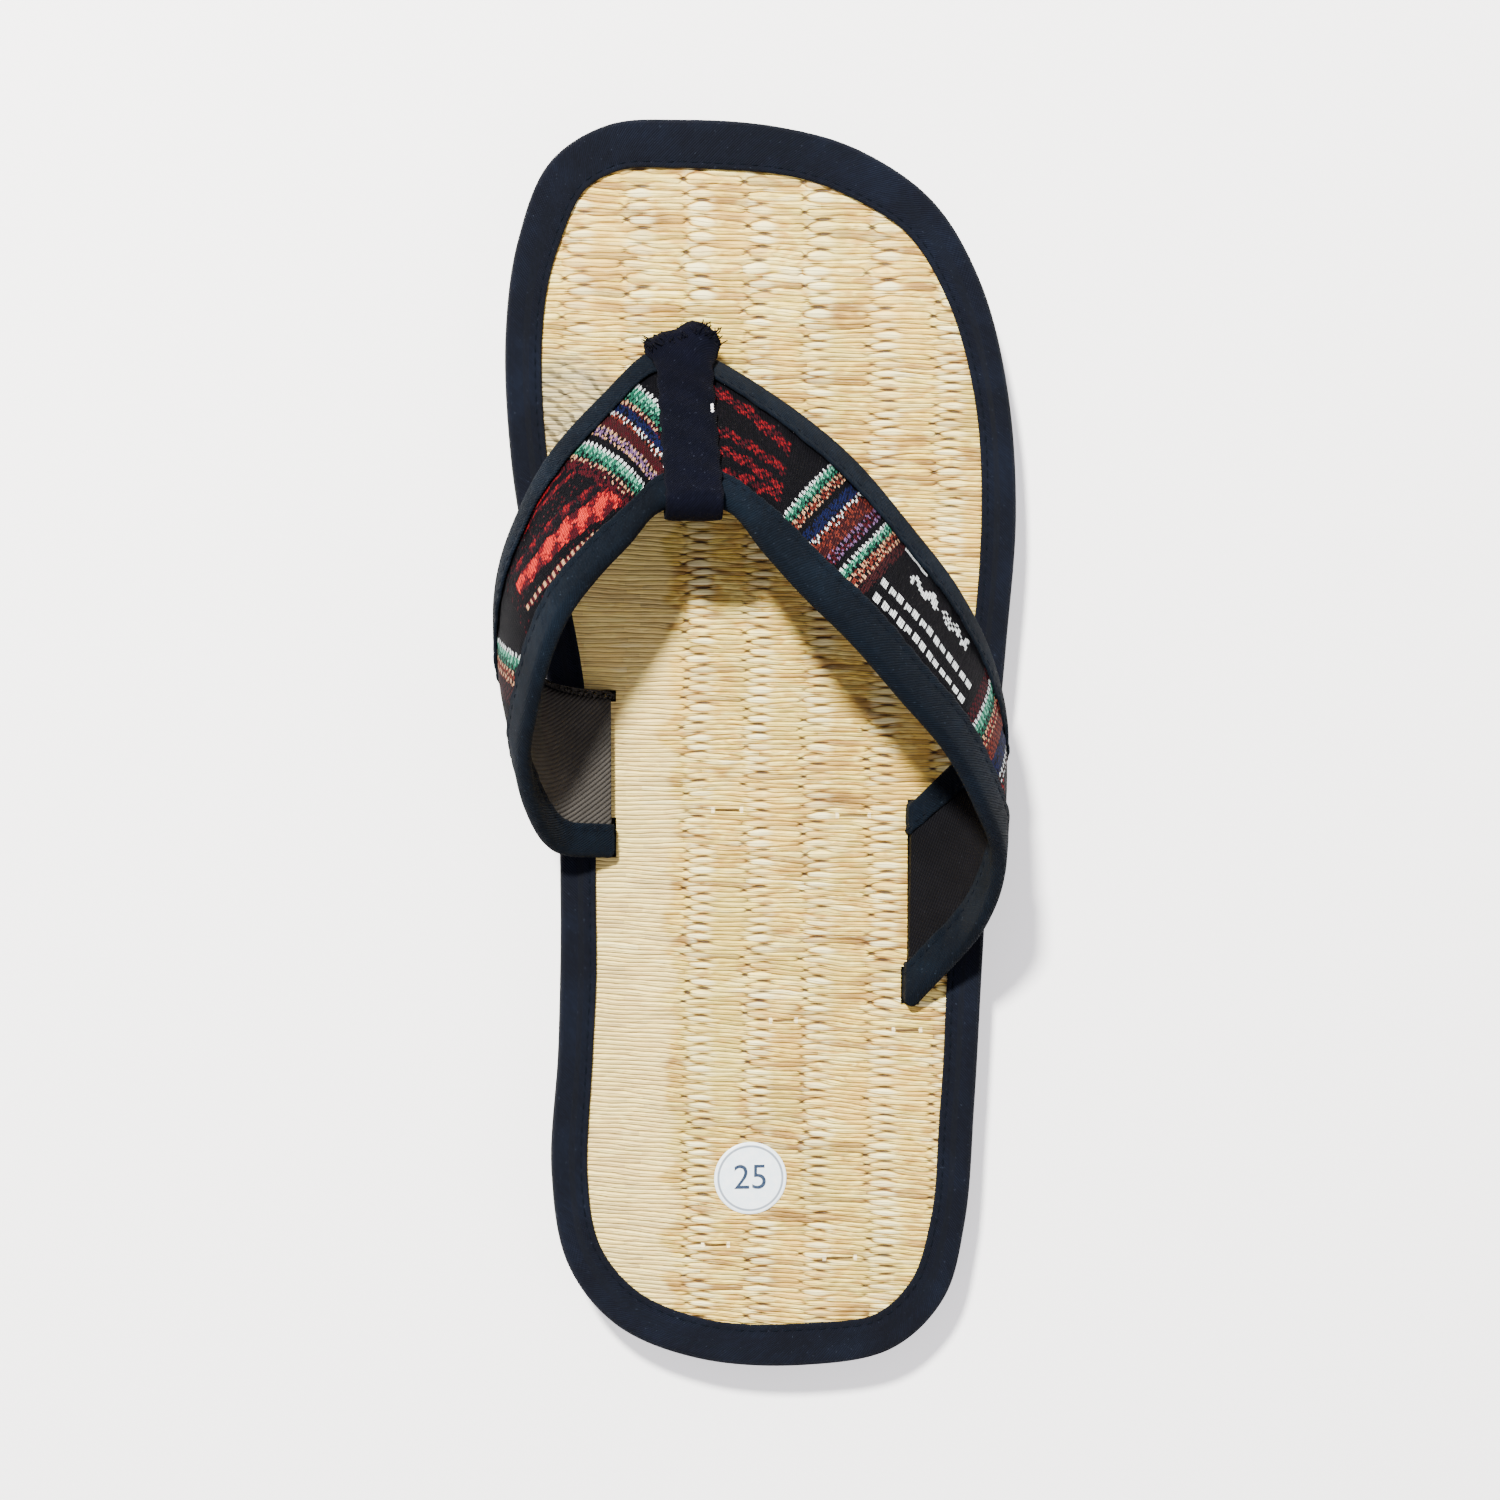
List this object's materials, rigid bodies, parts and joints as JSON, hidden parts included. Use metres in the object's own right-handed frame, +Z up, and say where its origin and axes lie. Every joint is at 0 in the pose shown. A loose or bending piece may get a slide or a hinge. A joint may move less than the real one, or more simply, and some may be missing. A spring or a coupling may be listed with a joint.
{
  "type": "woven mat slipper",
  "caption": "Flat thong slipper with a woven rush footbed, a padded V strap in patterned cloth, dark tape edging and a foam sole with wavy tread.",
  "frame": {"origin": "on the floor under the middle of the slipper's box", "axes": "+Y to the toes, +X to the outer side of the right foot, +Z up"},
  "size_m": [0.11, 0.26, 0.0556],
  "materials": {
    "sole_foam": "satin black EVA foam",
    "rush_mat": "natural woven rush, dry and slightly glossy",
    "edge_tape": "matt dark navy cotton bias tape",
    "strap_cloth": "woven patterned cloth with a black twill lining",
    "strap_tape": "matt dark navy cotton bias tape",
    "tab_cloth": "matt black cotton",
    "sticker_paper": "coated white paper"
  },
  "bodies": {
    "root": {"outsole": "sole_foam", "insole_mat": "rush_mat", "mat_binding": "edge_tape", "upper_strap": "strap_cloth", "strap_binding_front": "strap_tape", "strap_binding_rear": "strap_tape", "toe_tab": "tab_cloth", "size_sticker": "sticker_paper"}
  },
  "joints": []
}
